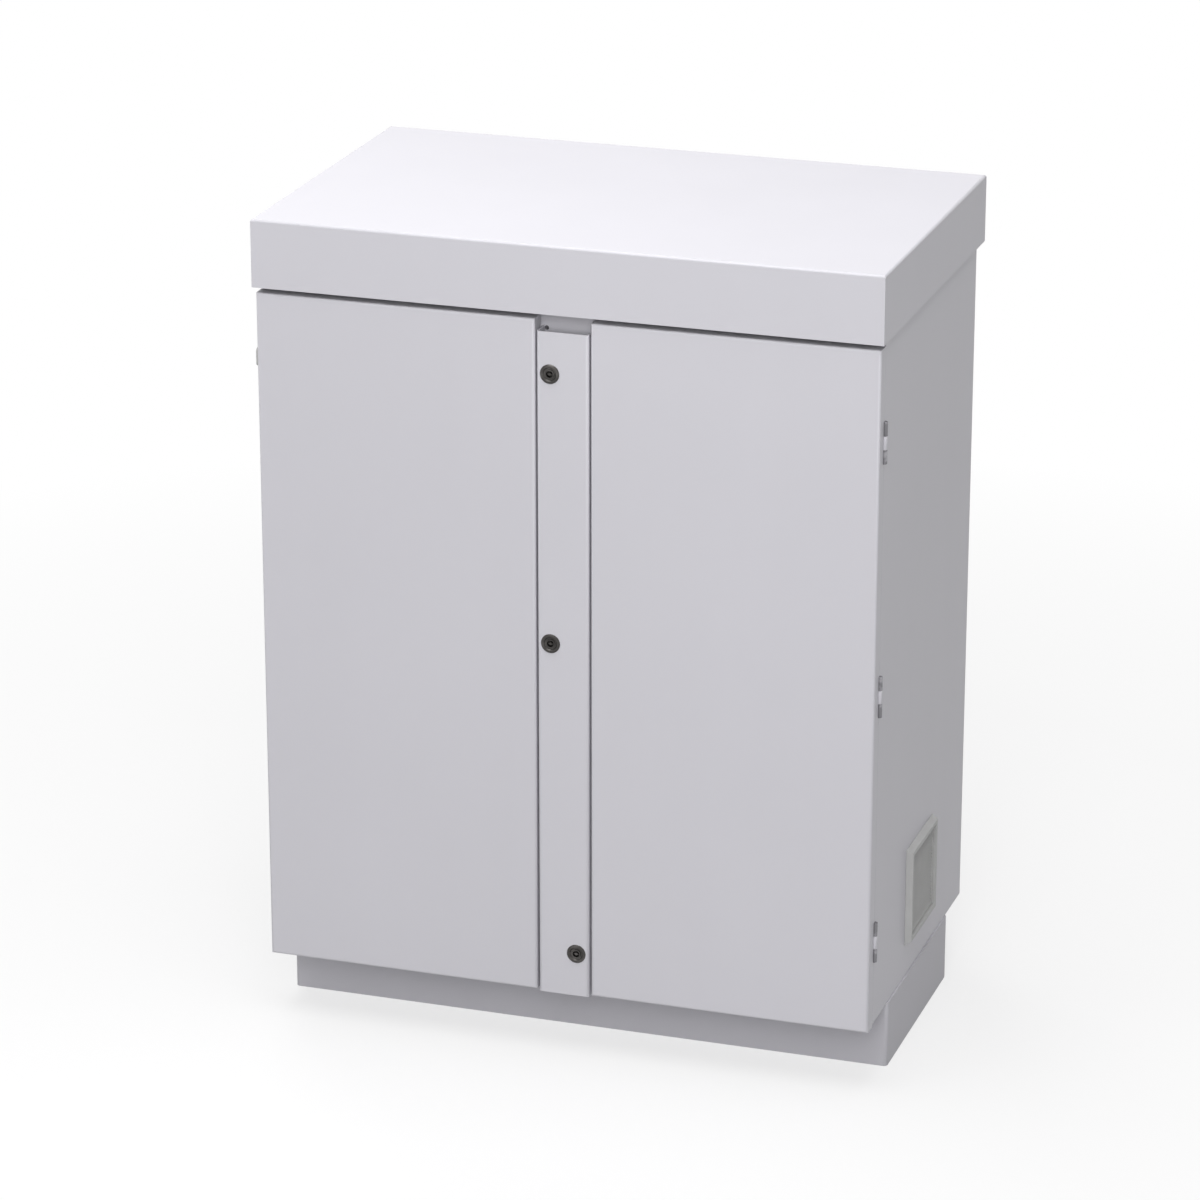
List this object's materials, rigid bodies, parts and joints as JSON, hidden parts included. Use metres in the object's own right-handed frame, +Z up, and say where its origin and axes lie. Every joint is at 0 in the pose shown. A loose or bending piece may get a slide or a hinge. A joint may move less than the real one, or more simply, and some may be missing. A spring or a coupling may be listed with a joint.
{
  "type": "roadside utility cabinet",
  "caption": "Free-standing steel street cabinet on a plinth: box hood, hinged tray doors either side of a fixed locking post, louvred side vent, mounting plate and cable entry from below.",
  "frame": {"origin": "middle of the anchor holes, on the ground under the plinth", "axes": "+X to the right seen from the doors, +Y to the back, +Z up"},
  "size_m": [0.914, 0.553, 1.2],
  "materials": {
    "paint": "fine satin powder coat",
    "plinth_paint": "satin powder coat",
    "zinc": "galvanised",
    "gunmetal": "dark satin",
    "steel": "dull, phosphated",
    "rubber": "matte",
    "plastic": "fine moulded grain",
    "copper": "drawn",
    "felt": "non-woven mat"
  },
  "bodies": {
    "carcass": {"floor_pan": "paint", "left_side_panel": "paint", "right_side_panel": "paint", "back_panel": "paint", "top_panel": "paint", "top_rail": "paint", "bottom_rail": "paint", "left_jamb": "paint", "right_jamb": "paint", "centre_post": "paint", "hood": "paint", "plinth": "plinth_paint", "plinth_bolts": "zinc", "gland_plate": "zinc", "gland_screws": "zinc", "hood_posts": "zinc", "hood_nuts": "zinc", "mounting_plate": "zinc", "plate_standoffs": "zinc", "plate_nuts": "zinc", "earth_screws": "zinc", "lock_nuts": "zinc", "upper_lock_housing": "gunmetal", "middle_lock_housing": "gunmetal", "lower_lock_housing": "gunmetal", "post_screws": "steel", "left_upper_frame_leaf": "steel", "left_middle_frame_leaf": "steel", "left_lower_frame_leaf": "steel", "right_upper_frame_leaf": "steel", "right_middle_frame_leaf": "steel", "right_lower_frame_leaf": "steel", "hinge_pins": "steel", "cable_grommets": "rubber", "left_door_seal": "rubber", "right_door_seal": "rubber", "vent_frame": "plastic", "vent_grille": "plastic", "earth_bar": "copper", "vent_filter": "felt"},
    "left_door": {"left_door": "paint", "left_door_stiffener": "paint", "door_buffer": "plastic", "left_upper_door_leaf": "paint", "left_middle_door_leaf": "paint", "left_lower_door_leaf": "paint"},
    "right_door": {"right_door": "paint", "right_door_stiffener": "paint", "right_upper_door_leaf": "paint", "right_middle_door_leaf": "paint", "right_lower_door_leaf": "paint"},
    "upper_lock": {"upper_lock_core": "gunmetal", "upper_lock_tongue": "zinc", "upper_tongue_screw": "zinc"},
    "middle_lock": {"middle_lock_core": "gunmetal", "middle_lock_tongue": "zinc", "middle_tongue_screw": "zinc"},
    "lower_lock": {"lower_lock_core": "gunmetal", "lower_lock_tongue": "zinc", "lower_tongue_screw": "zinc"}
  },
  "joints": [
    {"name": "left_door_swing", "type": "hinge", "parent": "carcass", "child": "left_door", "pos_m": [-0.4505, -0.2415, 0.594], "axis": [0, 0, -1], "range_deg": [0, 120]},
    {"name": "right_door_swing", "type": "hinge", "parent": "carcass", "child": "right_door", "pos_m": [0.4505, -0.2415, 0.594], "axis": [0, 0, 1], "range_deg": [0, 120]},
    {"name": "upper_lock_turn", "type": "hinge", "parent": "carcass", "child": "upper_lock", "pos_m": [-0.0185, -0.2665, 1.017], "axis": [0, 1, 0], "range_deg": [0, 90]},
    {"name": "middle_lock_turn", "type": "hinge", "parent": "carcass", "child": "middle_lock", "pos_m": [-0.0185, -0.2665, 0.624], "axis": [0, 1, 0], "range_deg": [0, 90]},
    {"name": "lower_lock_turn", "type": "hinge", "parent": "carcass", "child": "lower_lock", "pos_m": [0.0185, -0.2665, 0.157], "axis": [0, -1, 0], "range_deg": [0, 90]}
  ]
}
